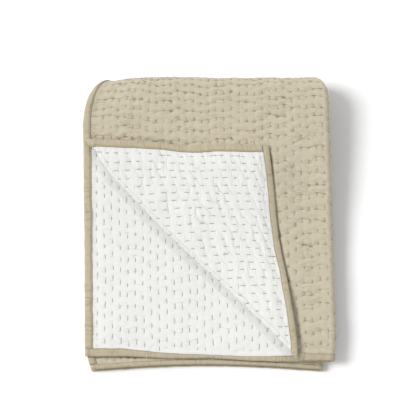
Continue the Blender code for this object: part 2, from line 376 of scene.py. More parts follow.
CREASE_LENGTH = math.hypot(CORNER_ACROSS, CORNER_ALONG)
CREASE_NORMAL = (CORNER_ALONG / CREASE_LENGTH, CORNER_ACROSS / CREASE_LENGTH)
CORNER = Bend(CORNER_RISE, 0.0, 1)
CORNER.start = -CORNER_ACROSS * CORNER_ALONG / CREASE_LENGTH
SIDE = Bend(SIDE_RISE, SIDE_EASE, -1)
SIDE.start = (WIDTH - SIDE.length) / 2.0
BACK = Bend(BACK_RISE, BACK_EASE, -1)
BACK.start = (LENGTH - BACK.length - LOWER_PAIR_OVERHANG) / 2.0
HALF_WIDTH = SIDE.start + SIDE_RISE / 2.0 + CLOTH_THICKNESS / 2.0
REAR = BACK.start + BACK.reach.max() * BACK.length
FLOOR_LIFT = BACK_RISE + CLOTH_THICKNESS / 2.0
MIDDLE_HEIGHT = FLOOR_LIFT - BACK_RISE / 2.0
SETTLE_DROP = BACK_RISE - 2.0 * SIDE_RISE - PAIR_SPACING


def turn_corner(u, v, h):
    """Fold the front left corner up over the crease, and let it gather, wander and settle."""
    flat_along = -(u * CREASE_NORMAL[0] + v * CREASE_NORMAL[1])
    along, z = CORNER.fold(flat_along, h)
    across = v * CREASE_NORMAL[0] - u * CREASE_NORMAL[1]
    x = -along * CREASE_NORMAL[0] - across * CREASE_NORMAL[1]
    y = across * CREASE_NORMAL[0] - along * CREASE_NORMAL[1]
    over = smooth((flat_along - CORNER.start) / CORNER.length)
    past_crease = x * CREASE_NORMAL[0] + y * CREASE_NORMAL[1] + CORNER.start
    bow = CREASE_BOW * bell(past_crease, CREASE_BOW_SPREAD)
    bow *= smooth(x / CREASE_BOW_RISE) * smooth((CORNER_ACROSS - x) / CREASE_BOW_RETURN)
    bow *= smooth((CREASE_BOW_TOP - y) / CREASE_BOW_EASE)
    gather = CORNER_GATHER * past_crease
    gather += RIGHT_EDGE_SAG * bell(y - RIGHT_EDGE_SAG_PLACE, RIGHT_EDGE_SAG_SPREAD)
    sag = TOP_EDGE_SAG * smooth(3.0 * y / CORNER_ALONG - 2.0)
    sag *= bell(x - TOP_EDGE_SAG_PLACE, TOP_EDGE_SAG_SPREAD)
    settled = 1.0 - HEM_SETTLE_LOSS * fade_in(u, HEM_SETTLE_LOSS_IN)
    z = z - HEM_SETTLE * settled * over * smooth(1.0 - np.minimum(u, v) / HEM_SETTLE_RUN)
    return x - bow - gather * over, y - bow - sag * over, z


def settle_pairs(x, y, z):
    """Lay the front of the pile down, and slide its two pairs of layers a little apart."""
    forward = np.maximum(BACK.start - y, 0.0)
    share = np.minimum(forward / BACK.start, 1.0)
    fade = np.where(forward > 0.0, smooth((FRONT_FADE - y) / FRONT_FADE), 0.0)
    place = x / HALF_WIDTH
    upper = z > MIDDLE_HEIGHT
    left = np.where(upper, UPPER_PAIR_LEFT_INSET, LOWER_PAIR_LEFT_INSET)
    right = np.where(upper, UPPER_PAIR_RIGHT_INSET, LOWER_PAIR_RIGHT_INSET)
    front = np.where(upper, 0.0, -LOWER_PAIR_OVERHANG)
    tip = np.clip(1.0 - (y - front) / FRONT_CORNER_RUN, 0.0, 1.0) ** 2
    upper_inset = -UPPER_CORNER_INSET * smooth(2.0 * place - 1.0)
    lower_inset = LOWER_CORNER_INSET * smooth(1.0 - 2.0 * place)
    upper_bow = -UPPER_FRONT_BOW * smooth((place - UPPER_BOW_START) / UPPER_BOW_RUN)
    lower_bow = LOWER_FRONT_BOW * np.sin(math.pi * np.clip(place, 0.0, 1.0))
    x = x + share * (left - (left + right) * place) + tip * np.where(upper, upper_inset, lower_inset)
    y = y + fade * np.where(upper, upper_bow, lower_bow)
    return x, y, z - np.where(upper, SETTLE_DROP * smooth(forward / SETTLE_RUN), 0.0)


def round_rear_corners(x, v):
    """Draw the two rear corners of the pile in, as a quarter of an ellipse each."""
    middle_y = BACK.fold(v, 0.0)[0]
    for corner in REAR_CORNERS:
        depth = np.clip((middle_y - REAR + corner["run"]) / corner["run"], 0.0, DEEPEST)
        inset = corner["inset"] * (1.0 - np.sqrt(1.0 - depth * depth))
        from_side = x if corner["side"] < 0 else HALF_WIDTH - x
        x = x - corner["side"] * inset * smooth(1.0 - from_side / corner["spread"])
    return x


def draw_rear_forwards(x, y):
    """Draw the rear edge forwards near its left corner."""
    reach = smooth((y - REAR_DRAW_START) / (REAR - REAR_DRAW_START))
    return y - REAR_DRAW * reach * smooth(1.0 - x / REAR_DRAW_SPREAD)


def roll_front(u, v, y, z):
    """Roll the front edge down at the side fold, and draw it in along its part folded under."""
    share = FRONT_ROLL_KEPT + (1.0 - FRONT_ROLL_KEPT) * fade_out(u, FRONT_ROLL_OUT)
    roll = fade_in(u, FRONT_ROLL_IN) * share
    drawn = bell(u - FRONT_DRAW_PLACE, FRONT_DRAW_SPREAD)
    z = z - FRONT_ROLL * roll * smooth(1.0 - v / FRONT_ROLL_RUN)
    return y + FRONT_DRAW * drawn * smooth(1.0 - v / FRONT_DRAW_RUN), z


def wave(x, y):
    """Slow unevenness of the pile's height, as a factor close to 1."""
    total = 1.0
    for row in WAVES:
        turns = x / row["across"] + y / row["along"]
        total = total + row["size"] * np.sin(2.0 * math.pi * turns + row["phase"])
    return total


def place_in_pile(flat):
    """Where flat points (rows of u, v, h) lie in the folded pile."""
    u, v, h = flat.T
    x, y, z = turn_corner(u, v, h)
    x, z = SIDE.fold(x, z)
    x = round_rear_corners(x, v)
    y, z = BACK.fold(y, z)
    y = draw_rear_forwards(x, y)
    x, y, z = settle_pairs(x, y, z + FLOOR_LIFT)
    y, z = roll_front(u, v, y, z)
    return np.column_stack((x, y, z * wave(x, y))) + PILE_SHIFT


# The quilting's relief ------------------------------------------------------------

def swing(*rows):
    """A sum of sines, each row an amplitude and the angle it follows."""
    return sum(size * np.sin(angle) for size, angle in rows)


def rough(u, v, patches, shift=0.0):
    """Smooth unevenness between about -1 and 1, in patches whose seed may be shifted."""
    across, along, seed = patches
    points = zip(u / across, v / along)
    return NOISE_GAIN * np.array([noise.noise((a, b, seed + shift)) for a, b in points])


def from_edge(u, v):
    """How far a flat place is from the quilt's nearest edge."""
    return np.minimum(np.minimum(u, WIDTH - u), np.minimum(v, LENGTH - v))


def into_corner(u, v):
    """How far a flat place is past the crease of the turned-back corner."""
    return -CORNER.start - u * CREASE_NORMAL[0] - v * CREASE_NORMAL[1]


def stagger(u, v):
    """How unevenly neighbouring columns are stitched: most at the pile's right and inside it."""
    right = fade_in(u, RIGHT_STAGGER_IN) * fade_out(v, RIGHT_STAGGER_OUT)
    folded = smooth((u - SIDE.start) / FOLDED_STAGGER_RUN)
    return STAGGER + (RIGHT_STAGGER + FOLDED_STAGGER * folded) * right


def phase(column, u, v):
    """How far a column's stitches are shifted along it, as a part of the pitch."""
    slow = swing((0.27, 0.31 * column + 1.1 * np.sin(0.19 * column)), (0.13, 1.05 * column + 0.8))
    quick = swing((1.0, 2.71 * column + 0.4), (0.5, 5.3 * column))
    return slow + stagger(u, v) * quick


def wandered(straight, v):
    """Where a sewn line that is straight in plan really runs: off it a little, but for the edges."""
    column = straight / COLUMN
    wander = swing((0.0011, v / 0.031 + 0.5 * column), (0.0004, v / 0.0081 + 2.0 * column))
    return straight + wander * smooth(np.minimum(straight, WIDTH - straight) / EDGE_STRAIGHT_RUN)


def dash_shift(column, row):
    """How far one stitch is off its place along the column, as a part of the pitch."""
    return swing((0.09, 2.4 * column + 1.3 * row), (0.06, 1.1 * column - 2.7 * row))


def crowding(v):
    """How many more stitches a column has by a place, as they lie closer at the pile's rear."""
    return REAR_EXTRA * fade_in(v, REAR_EXTRA_IN)


def stitch_places(straight, v, side):
    """A point's place among the sewn lines and along them, and how steeply its row climbs."""
    place = straight / COLUMN - 0.5
    left = np.floor(place)
    between = place - left
    start, end = phase(left, straight, v), phase(left + 1.0, straight, v)
    waver = ROW_WAVER * rough(straight, v, ROW_PATCHES, side) * 4.0 * between * (1.0 - between)
    turn = (v - FIRST_DASH) / PITCH + crowding(v) - start - (end - start) * smooth(between) + waver
    climb = (end - start) * 6.0 * between * (1.0 - between)
    return place, turn + (0.5 if side < 0 else 0.0), climb


def half_thickness(u, v):
    """Half the quilt's thickness: pressed thin at the binding, full a little further in."""
    share = smooth((from_edge(u, v) - THIN_MARGIN) / (FULL_MARGIN - THIN_MARGIN))
    return (EDGE_THICKNESS + (CLOTH_THICKNESS - EDGE_THICKNESS) * share) / 2.0


def arch(turns):
    """Rounded from one whole number to the next, with a sharp valley at each."""
    part = turns - np.floor(turns)
    return 4.0 * part * (1.0 - part)


def crease_strength(u, v, climb, side):
    """How strong the creases are: in patches, weak where a row climbs, and more at the rear."""
    strength = CREASE_USUAL + CREASE_VARIETY * rough(u, v, CREASE_PATCHES, side)
    more = 1.0 + REAR_CREASING * fade_in(v, REAR_CREASING_IN) * fade_out(v, REAR_CREASING_OUT)
    return np.clip(strength, *CREASE_LIMITS) * bell(climb, STEEPEST_ROW) * more


def corner_ripples(u, v):
    """The turned-back corner's ripples: their count along it, and how strong they are."""
    warp = RIPPLE_WARP * rough(u, v, WARP_PATCHES)
    warp += RIPPLE_FINE_WARP * rough(u, v, FINE_WARP_PATCHES)
    variety = RIPPLE_VARIETY * rough(u + v, v - u * RIPPLE_SLANT, RIPPLE_PATCHES)
    swell = np.clip(RIPPLE_USUAL + variety, *RIPPLE_LIMITS)
    return (v + RIPPLE_LEAN * u) / PITCH + warp, swell


def quilting(straight, v, side):
    """The puckered surface: its depth below its pillows' tops, and what its material follows."""
    u = wandered(straight, v)
    place, turn, climb = stitch_places(straight, v, side)
    from_column = np.abs(place - np.round(place)) * COLUMN
    from_middle = np.abs(turn - np.round(turn)) * PITCH
    dash = DASH[side]
    tilt = dash / (2.0 * PITCH) * np.tanh(CREASE_TILTING * rough(u, v, TILT_PATCHES, side))
    strength = crease_strength(u, v, climb, side)
    corner = smooth(into_corner(u, v) / RIPPLE_RUN) if side < 0 else u * 0.0
    beside = CREASE_BETWEEN + (1.0 - CREASE_BETWEEN) * bell(from_column, CREASE_NEAR_WIDTH)
    depth = CREASE_DEPTH[side] * (1.0 - arch(turn - tilt)) * strength * beside
    depth *= 1.0 - CREASE_CORNER_LOSS * corner
    near = smooth((dash * DENT_REACH - from_middle) / (dash * DENT_EASE))
    puffed = 0.5 + 0.5 * fade_out(u, PUFFED_OUT) if side > 0 else PUFFED_BACKING
    valley = 0.5 + 0.5 * np.cos(2.0 * math.pi * place)
    depth += COLUMN_DEPTH[side] * valley * puffed * (0.5 + 0.5 * near)
    depth += DENT_DEPTH[side] * bell(from_column, DENT_WIDTH) * near
    depth += WRINKLE_DEPTH[side] * (0.5 + 0.5 * rough(u, v, WRINKLE_PATCHES, side))
    ridges = np.maximum(1.0 - RIDGE_SHARPNESS * np.abs(rough(u, v, RIDGE_PATCHES, side)), 0.0)
    depth += RIDGE_DEPTH[side] * ridges * (1.0 - corner)
    depth += SWELL_DEPTH * (0.5 + 0.5 * rough(u, v, SWELL_PATCHES, side))
    ripple, swell = corner_ripples(u, v)
    depth += RIPPLE_DEPTH * (1.0 - arch(ripple)) * swell * corner
    pressed = into_corner(u, v) - PRESSED_PLACE + PRESSED_WANDER * rough(u, v, PRESSED_PATCHES)
    depth += PRESSED_DEPTH * bell(pressed, PRESSED_WIDTH) * (side < 0)
    inside = fade_in(from_edge(u, v), RELIEF_IN)
    marks = {"place": place, "turn": turn, "crease": turn - tilt, "far_crease": turn + tilt,
             "ripple": ripple, "corner": corner * swell,
             "strength": strength * inside, "pressed": pressed}
    return np.maximum(depth, 0.0) * inside, marks


def hem_line(across, along):
    """Where a hem of the turned-back corner lies in plan, from the corner's tip to a flat place."""
    share = np.linspace(0.0, 1.0, HEM_SAMPLES)
    u = across * share
    v = along * share
    x, y, _ = turn_corner(u, v, u * 0.0)
    return x, y


def beside_right_hem(u, v):
    """How far the face stands up beside and under the turned-back corner's right hem."""
    x, y = hem_line(CORNER_ACROSS * HEM_FOLLOWED, 0.0)
    past = u - np.interp(v, y[::-1], x[::-1])
    reach = fade_in(v, HEM_SWELL_IN) * fade_out(v, (y[0] + HEM_SWELL_PAST_END, HEM_SWELL_END_RUN))
    width = np.where(past < HEM_SWELL_PLACE, HEM_SWELL_WIDTH, HEM_SWELL_FAR_WIDTH)
    reach = reach * (u < SIDE.start)
    total = HEM_SWELL * bell(past - HEM_SWELL_PLACE, width) * (past > 0.0) * reach
    under = smooth(1.0 - past / HEM_PRESS_OUTSIDE)
    under = under * smooth((past + HEM_PRESS_UNDER) / HEM_PRESS_EASE)
    total -= HEM_PRESS * under * fade_in(v, HEM_PRESS_IN) * (u < SIDE.start) * (v < y[0])
    groove = bell(past - GROOVE_PLACE, GROOVE_WIDTH)
    groove = groove * fade_out(v, GROOVE_OUT) * fade_in(v, GROOVE_IN)
    total -= GROOVE_DEPTH * groove * (u < SIDE.start)
    folds = np.sin(v / FOLD_RADIAN + FOLD_WANDER * rough(u, v, FOLD_PATCHES))
    folds = folds * fade_out(v, FOLD_FRONT_OUT)
    return total + FOLD_HEIGHT * folds * fade_in(u, FOLD_IN) * fade_out(u, FOLD_OUT)


def behind_rear_hem(u, v):
    """How far the face dips behind the turned-back corner's rear hem."""
    x, y = hem_line(0.0, CORNER_ALONG * HEM_FOLLOWED)
    behind = v - np.interp(u, x[::-1], y[::-1])
    reach = fade_out(u, HEM_DIP_OUT) * fade_in(u, HEM_DIP_IN) * (behind > HEM_DIP_START)
    return HEM_DIP * bell(behind, HEM_DIP_WIDTH) * reach


def rear_roll(u, v):
    """How far the face puffs up in a crimped roll along the rear edge."""
    from_rear = LENGTH - v
    crimp = ROLL_USUAL + ROLL_VARIETY * rough(u, v, ROLL_PATCHES)
    width = np.where(from_rear < ROLL_PLACE, ROLL_WIDTH, ROLL_FAR_WIDTH)
    roll = ROLL_HEIGHT * bell(from_rear - ROLL_PLACE, width) * crimp
    return roll * fade_in(u - SIDE.start, ROLL_IN) * fade_out(u, ROLL_OUT)


def puff(u, v, side):
    """How far the face stands up by the turned-back corner's hems, and along the rear edge."""
    if side < 0:
        return u * 0.0
    return beside_right_hem(u, v) - behind_rear_hem(u, v) + rear_roll(u, v)


# Making pieces --------------------------------------------------------------------

def add_object(name, data):
    """A new object in the scene."""
    piece = bpy.data.objects.new(name, data)
    bpy.context.scene.collection.objects.link(piece)
    return piece


def mesh_of(name, bm):
    """A new mesh from a bmesh, which is then freed."""
    mesh = bpy.data.meshes.new(name)
    bm.to_mesh(mesh)
    bm.free()
    return mesh


def spaced(stops):
    """Places from one stop to the next, at each stretch's own spacing."""
    places = [0.0]
    for end, spacing in stops:
        start = places[-1]
        count = max(round((end - start) / spacing), 1)
        places += [start + (end - start) * (step + 1) / count for step in range(count)]
    return np.array(places)


def points_of(mesh):
    """The mesh's points as rows of x, y, z."""
    flat = np.empty(len(mesh.vertices) * 3)
    mesh.vertices.foreach_get("co", flat)
    return flat.reshape(-1, 3)


def add_piece(name, bm, flat, attributes=None):
    """Fold a mesh, whose points have the given flat places, and keep those in its UV map."""
    mesh = mesh_of(name, bm)
    points = place_in_pile(flat)
    points[:, 2] = np.maximum(points[:, 2], 0.0)
    mesh.vertices.foreach_set("co", points.ravel())
    corners = np.empty(len(mesh.loops), dtype=np.int32)
    mesh.loops.foreach_get("vertex_index", corners)
    layer = mesh.uv_layers.new(name="flat")
    layer.data.foreach_set("uv", flat[corners, :2].ravel())
    for key, values in (attributes or {}).items():
        mesh.attributes.new(key, "FLOAT", "POINT").data.foreach_set("value", values)
    mesh.shade_smooth()
    mesh.update()
    piece = add_object(name, mesh)
    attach(piece, "root")
    return piece


def lattice(across, along):
    """A grid with lines at two lists of places, and its points' flat places."""
    bm = bmesh.new()
    bmesh.ops.create_grid(bm, x_segments=len(across) - 1, y_segments=len(along) - 1, size=0.5)
    cells = np.array([vert.co[:2] for vert in bm.verts]) + 0.5
    columns = np.rint(cells[:, 0] * (len(across) - 1)).astype(int)
    rows = np.rint(cells[:, 1] * (len(along) - 1)).astype(int)
    return bm, across[columns], along[rows]


def sewn_lines(columns):
    """Places across the quilt of mesh lines at each column's stitches, at their sides and between."""
    middles = (np.arange(columns) + 0.5) * COLUMN
    beside = (middles - STITCH_SIDE, middles + STITCH_SIDE)
    places = np.concatenate((middles, *beside, middles + COLUMN / 2.0))
    return np.concatenate(([0.0], np.sort(places)))


def cloth_panel(name, across, along, side):
    """One quilted panel: side is 1 for the face and -1 for the backing."""
    bm, straight, v = lattice(across, along)
    if side < 0:
        bmesh.ops.reverse_faces(bm, faces=bm.faces[:])
    depth, marks = quilting(straight, v, side)
    u = wandered(straight, v)
    half = half_thickness(u, v)
    height = side * np.maximum(half + puff(u, v, side) - depth, THINNEST - half)
    return add_piece(name, bm, np.column_stack((u, v, height)), marks)


def strip_profile():
    """Section of the binding as (inwards, up) points: round the nose outside, and back inside."""
    top = EDGE_THICKNESS / 2.0 + BINDING_ROOM + BINDING_CLOTH
    inner = top - BINDING_CLOTH
    nose = -BINDING_SEAT - BINDING_CLOTH
    outer = [(BINDING_WIDTH, top - 0.0009), (BINDING_WIDTH - 0.0008, top - 0.0002),
             (BINDING_WIDTH - 0.0020, top - 0.0003), (BINDING_WIDTH - 0.0030, top + 0.0001),
             (0.0070, top + 0.0003), (0.0040, top + 0.0002), (0.0015, top - 0.0002)]
    turn = [(nose + (1.0 - math.cos(angle)) * NOSE_DEPTH, top * 0.92 * math.sin(angle))
            for angle in (1.0, 0.55, 0.0)]
    half = outer + turn
    back = [(x, -z) for x, z in reversed(half[:-1])]
    inside = [(BINDING_WIDTH, -inner + 0.0011), (BINDING_WIDTH * 0.5, -inner), (0.0, -inner * 0.9),
              (-BINDING_SEAT * 0.8, 0.0), (0.0, inner * 0.9), (BINDING_WIDTH * 0.5, inner),
              (BINDING_WIDTH, inner - 0.0011)]
    return half + back + inside, len(half + back)


def binding_strip(name, along, place, seed, closed_ends):
    """A binding strip: place turns (along, inwards) into a flat place on the quilt."""
    profile, outside_count = strip_profile()
    profile = np.array(profile)
    ring = np.append(np.arange(len(profile)), 0)
    bm, step, station = lattice(np.arange(len(ring)).astype(float), along)
    step = ring[step.astype(int)]
    inwards, up = profile[step].T
    crimp = STRIP_CRIMP * rough(station, up, STRIP_CRIMP_PATCHES, seed)
    crimp += STRIP_FINE_CRIMP * rough(station, inwards, STRIP_FINE_PATCHES, seed)
    up = up + np.sign(up) * np.where(step < outside_count, crimp, 0.0)
    if closed_ends:
        from_end = np.minimum(station - along[0], along[-1] - station)
        share = np.sqrt(np.clip(from_end / STRIP_END_RUN, 0.0, 1.0))
        up = up * (STRIP_END_LEAST + (1.0 - STRIP_END_LEAST) * share)
    level = inwards * 0.0
    waver = STRIP_WAVER * rough(station, level, STRIP_WAVER_PATCHES, seed)
    puckered = STRIP_PUCKER * (0.5 + 0.5 * rough(station, level, STRIP_PUCKER_PATCHES, seed))
    inwards = inwards + np.where(inwards > STRIP_WAVER_FROM, waver, 0.0)
    inwards = inwards - np.where(inwards < STRIP_PUCKER_TO, np.maximum(puckered, 0.0), 0.0)
    u, v = place(station, inwards)
    mark = {"along": station, "inwards": inwards - waver}
    piece = add_piece(name, bm, np.column_stack((u, v, up)), mark)
    weld = bmesh.new()
    weld.from_mesh(piece.data)
    bmesh.ops.remove_doubles(weld, verts=weld.verts, dist=WELD_DISTANCE)
    edges = [edge for edge in weld.edges if edge.is_boundary]
    bmesh.ops.holes_fill(weld, edges=edges)
    bmesh.ops.recalc_face_normals(weld, faces=weld.faces)
    weld.to_mesh(piece.data)
    weld.free()
    return piece


def on_front_edge(u, inwards):
    """The front strip's places: rolled in past the turned-back corner, most on the layer under it."""
    slight = FRONT_SLIGHT_NARROWING * fade_in(u, FRONT_SLIGHT_IN) * fade_out(u, FRONT_SLIGHT_OUT)
    most = FRONT_NARROWING * bell(u - FRONT_NARROWING_PLACE, FRONT_NARROWING_SPREAD)
    return u, inwards * (1.0 - slight - most)


def on_rear_edge(u, inwards):
    """The rear strip's places: rolled in from the side fold on, and further near the fold."""
    further = REAR_FURTHER_NARROWING * fade_out(u, REAR_FURTHER_OUT)
    rolled = (REAR_NARROWING + further) * smooth((u - SIDE.start) / REAR_NARROWING_RUN)
    return u, LENGTH - inwards * (1.0 - rolled)


def on_left_edge(v, inwards):
    """The left strip's places: rolled in towards the pile's rear."""
    rolled = LEFT_NARROWING * bell(v - LEFT_NARROWING_PLACE, LEFT_NARROWING_SPREAD)
    return inwards * (1.0 - rolled), v


def on_right_edge(v, inwards):
    """The right strip's places: drawn out at the rear to meet the narrowed rear strip."""
    to_end = LENGTH - BINDING_WIDTH - BUTT_GAP - v
    drawn = BINDING_WIDTH * REAR_NARROWING * smooth(1.0 - to_end / RIGHT_REACH_RUN)
    return WIDTH - inwards, v + drawn


def repeated(mesh, count, step):
    """A mesh repeated along Z by an array, as one new mesh."""
    carrier = add_object(mesh.name, mesh)
    array = carrier.modifiers.new("repeat", "ARRAY")
    array.count = count
    array.use_relative_offset = False
    array.use_constant_offset = True
    array.constant_offset_displace = (0.0, 0.0, step)
    graph = bpy.context.evaluated_depsgraph_get()
    joined = bpy.data.meshes.new_from_object(carrier.evaluated_get(graph))
    bpy.data.objects.remove(carrier)
    return joined


def stitch_middles(side):
    """Flat places of the middles of all the stitches that show on one side."""
    rows = np.arange(-1.0, ROWS + 2.0)
    columns, rows = np.meshgrid(np.arange(float(COLUMNS)), rows, indexing="ij")
    columns, rows = columns.ravel(), rows.ravel()
    turn = rows - (0.5 if side < 0 else 0.0)
    straight = (columns + 0.5) * COLUMN
    v = FIRST_DASH + turn * PITCH
    for _ in range(SETTLING_ROUNDS):
        v = FIRST_DASH + (turn + phase(columns, straight, v) - crowding(v)) * PITCH
    v = v + dash_shift(columns, rows) * PITCH
    end = BINDING_WIDTH + DASH[side] * THREAD_CLEARANCE
    kept = (v > end) & (v < LENGTH - end)
    return straight[kept], v[kept]


def running_stitch(name, side):
    """All the stitches that show on one side, as short raised threads."""
    bm = bmesh.new()
    bmesh.ops.create_uvsphere(bm, u_segments=THREAD_SIDES, v_segments=THREAD_SIDES, radius=0.5)
    lying = Matrix.Rotation(math.pi / 2.0, 3, "X")
    bmesh.ops.rotate(bm, verts=bm.verts, cent=(0.0, 0.0, 0.0), matrix=lying)
    single = mesh_of(name + "_one", bm)
    straight, middle_v = stitch_middles(side)
    middle_u = wandered(straight, middle_v)
    spread = 2.0
    joined = repeated(single, len(middle_u), spread)
    local = points_of(joined)
    which = np.arange(len(local)) // len(single.vertices)
    local[:, 2] -= spread * which
    length = DASH[side] * (1.0 + swing((0.12, 7.3 * which), (0.07, 2.9 * which)))
    lean = swing((0.0009, 3.7 * which + 1.0))
    u = middle_u[which] + local[:, 0] * THREAD_WIDTH[side] + lean * local[:, 1]
    v = middle_v[which] + local[:, 1] * length
    bed = quilting(straight, middle_v, side)[0][which]
    sunk = THREAD_SINK * np.abs(2.0 * local[:, 1]) ** 4
    stands = local[:, 2] * THREAD_HEIGHT + THREAD_LIFT - sunk
    bed = bed - puff(middle_u, middle_v, side)[which]
    height = side * (half_thickness(u, v) - bed + stands)
    bm = bmesh.new()
    bm.from_mesh(joined)
    if side < 0:
        bmesh.ops.reverse_faces(bm, faces=bm.faces[:])
    return add_piece(name, bm, np.column_stack((u, v, height)))


# Materials ------------------------------------------------------------------------

YARN = 0.00062
WEAVE_DRIFT = (0.006, 0.006)
SPECULAR = 0.2
SHEEN = 0.1
SHEEN_ROUGHNESS = 0.6


class Number:
    """A number in a material, worked on with ordinary signs."""

    def __init__(self, look, socket):
        self.look = look
        self.socket = socket

    def __add__(self, other):
        return self.look.math("ADD", self, other)

    def __sub__(self, other):
        return self.look.math("SUBTRACT", self, other)

    def __rsub__(self, other):
        return self.look.math("SUBTRACT", other, self)

    def __mul__(self, other):
        return self.look.math("MULTIPLY", self, other)

    def __truediv__(self, other):
        return self.look.math("DIVIDE", self, other)

    def __abs__(self):
        return self.look.math("ABSOLUTE", self)

    __radd__ = __add__
    __rmul__ = __mul__

    def off_whole(self):
        """How far it is from the nearest whole number."""
        return abs(self - self.look.math("ROUND", self))

    def ridge(self, width):
        """1 at nothing, falling off as a bell of a width."""
        part = self / width
        return self.look.math("EXPONENT", part * part * -1.0)

    def held(self):
        """Held between 0 and 1."""
        return self.look.math("MINIMUM", self.look.math("MAXIMUM", self, 0.0), 1.0)


class Look:
    """A material and the nodes that make it."""

    def __init__(self, name):
        self.material = bpy.data.materials.new(name)
        self.material.use_nodes = True
        self.tree = self.material.node_tree
        self.shader = self.tree.nodes["Principled BSDF"]

    def fill(self, node, sockets):
        """Set a node's sockets to values, or link them to numbers or other nodes' sockets."""
        for key, value in sockets.items():
            if isinstance(value, Number):
                value = value.socket
            if isinstance(value, bpy.types.NodeSocket):
                self.tree.links.new(value, node.inputs[key])
            else:
                node.inputs[key].default_value = value
        return node

    def node(self, kind, settings=None, sockets=None):
        """A node of a kind, with its settings, and with its sockets set or linked."""
        node = self.tree.nodes.new(kind)
        for key, value in (settings or {}).items():
            setattr(node, key, value)
        return self.fill(node, sockets or {})

    def math(self, operation, *values):
        """What a Math node makes of some values."""
        node = self.node("ShaderNodeMath", {"operation": operation}, dict(enumerate(values)))
        return Number(self, node.outputs[0])

    def attribute(self, name):
        """A number that the mesh keeps for each of its points."""
        node = self.node("ShaderNodeAttribute", {"attribute_name": name})
        return Number(self, node.outputs["Fac"])

    def flat_place(self, across, along):
        """The flat quilt's own measure, counted in patches of a size each way."""
        place = self.node("ShaderNodeUVMap", {"uv_map": "flat"})
        scale = (1.0 / across, 1.0 / along, 1.0)
        sockets = {"Vector": place.outputs["UV"], "Scale": scale}
        return self.node("ShaderNodeMapping", None, sockets).outputs["Vector"]

    def unevenness(self, place, detail, roughness=0.5):
        """Soft unevenness from 0 to 1, about one patch to each unit of a place."""
        sockets = {"Vector": place, "Scale": 1.0, "Detail": detail, "Roughness": roughness}
        return Number(self, self.node("ShaderNodeTexNoise", None, sockets).outputs["Fac"])

    def patches(self, across, along, detail=2.0, roughness=0.5):
        """Soft unevenness in patches of a size each way, from 0 to 1."""
        return self.unevenness(self.flat_place(across, along), detail, roughness)

    def mix(self, share, low, high):
        """A colour between two, its share of the second given."""
        node = self.node("ShaderNodeMix", {"data_type": "RGBA"}, {0: share, 6: low, 7: high})
        return node.outputs[2]

    def bump(self, height, distance):
        """A normal that follows a height, which is 1 at a real distance."""
        sockets = {"Height": height, "Distance": distance, "Strength": 1.0}
        return self.node("ShaderNodeBump", None, sockets).outputs["Normal"]

    def weave(self, yarn):
        """A plain weave of one yarn size, from 0 to 1, its yarns a little uneven."""
        uneven = self.patches(*WEAVE_DRIFT) * 7.0
        place = self.node("ShaderNodeSeparateXYZ", None, {
            "Vector": self.flat_place(yarn / math.pi, yarn / math.pi)})
        warp = self.math("SINE", Number(self, place.outputs["X"]) + uneven)
        weft = self.math("SINE", Number(self, place.outputs["Y"]) + uneven)
        return warp * weft * 0.5 + 0.5

    def finish(self, colour, roughness, normal):
        """Lead the looks into the shader, with cotton's low gloss and a little sheen."""
        self.fill(self.shader, {
            "Base Color": colour, "Roughness": roughness, "Normal": normal,
            "Specular IOR Level": SPECULAR, "Sheen Weight": SHEEN, "Sheen Roughness": SHEEN_ROUGHNESS})
        return self.material


def rgb(red, green, blue):
    """A colour given as it shows on a screen, from 0 to 255, as a shader's linear one."""
    return tuple(((part / 255.0 + 0.055) / 1.055) ** 2.4 for part in (red, green, blue)) + (1.0,)


# The two cloths: their colours, the crease colour being that of the shade painted along creases,
# the width of a crease, how strongly shade is painted into their creases and crinkles, stitches'
# dents, and corner ripples and pressed line, and how much their small wrinkles stand out.
LINEN = {
    "light": rgb(188, 180, 161),
    "dark": rgb(174, 165, 144),
    "crease": rgb(124, 110, 84),
    "crease_width": 0.0009,
    "painted_crease_shade": 1.00,
    "dent_shade": 0.10,
    "painted_ripple_and_pressed_shade": 0.0,
    "wrinkling": 1.3,
}
WHITE = {
    "light": rgb(215, 215, 213),
    "dark": rgb(209, 209, 206),
    "crease": rgb(158, 154, 144),
    "crease_width": 0.0007,
    "painted_crease_shade": 0.30,
    "dent_shade": 0.04,
    "painted_ripple_and_pressed_shade": 0.30,
    "wrinkling": 0.8,
}
STRIP_LIGHT = rgb(179, 169, 146)
STRIP_DARK = rgb(163, 152, 128)
# The strip's seam colour also serves as the shade painted into its pinches.
STRIP_SEAM_AND_PINCH_SHADE = rgb(128, 114, 88)
TAN_THREAD = (rgb(187, 181, 167), rgb(160, 152, 136))
# The face's thread: its own colour darkened further with painted shade of the dents it sinks into.
LINEN_THREAD_AND_PIT_SHADE = (rgb(168, 157, 132), rgb(148, 135, 108))

# How wide the lines of painted shade in the cloth and the strip's seam and edge lines are, and how
# far the cloth's lines wobble. The widths of crinkles and pinches, which carry painted shade too,
# are shares of their pattern's range.
LINE_WOBBLE = 0.0016
SEWN_WIDTH = 0.0042
CRINKLE_WIDTH = 0.016
DENT_LINE_WIDTH = 0.0013
RIPPLE_LINE_WIDTH = 0.0011
PRESSED_LINE_WIDTH = 0.0014
SEAM_FROM_EDGE = 0.0020
SEAM_WIDTH = 0.0006
STRIP_EDGE_WIDTH = 0.0010
PINCH_WIDTH = 0.020

# Sizes across and along of the patches that the materials are uneven in, and of a thread's
# twist. A strip's creases and pinches are counted in a metre, along it and across it.
WOBBLES = (0.0045, 0.0045)
SPOTS = (0.011, 0.007)
DOUBLED = (0.024, 0.019)
CRINKLED = (0.035, 0.030)
CRINKLES = (0.017, 0.009)
SLUBS_ACROSS = (0.020, 0.0009)
SLUBS_ALONG = (0.0009, 0.020)
CLOUDS = (0.050, 0.050)
WRINKLES = (0.012, 0.0045)
STRIP_CLOUDS = (0.040, 0.040)
PINCHED = (0.030, 0.030)
STRIP_CREASES = (120.0, 80.0)
STRIP_PINCHES = (75.0, 22.0)
TWIST = (0.0005, 0.0014)
BUMP_HEIGHT = 0.0010
TWIST_HEIGHT = 0.0002


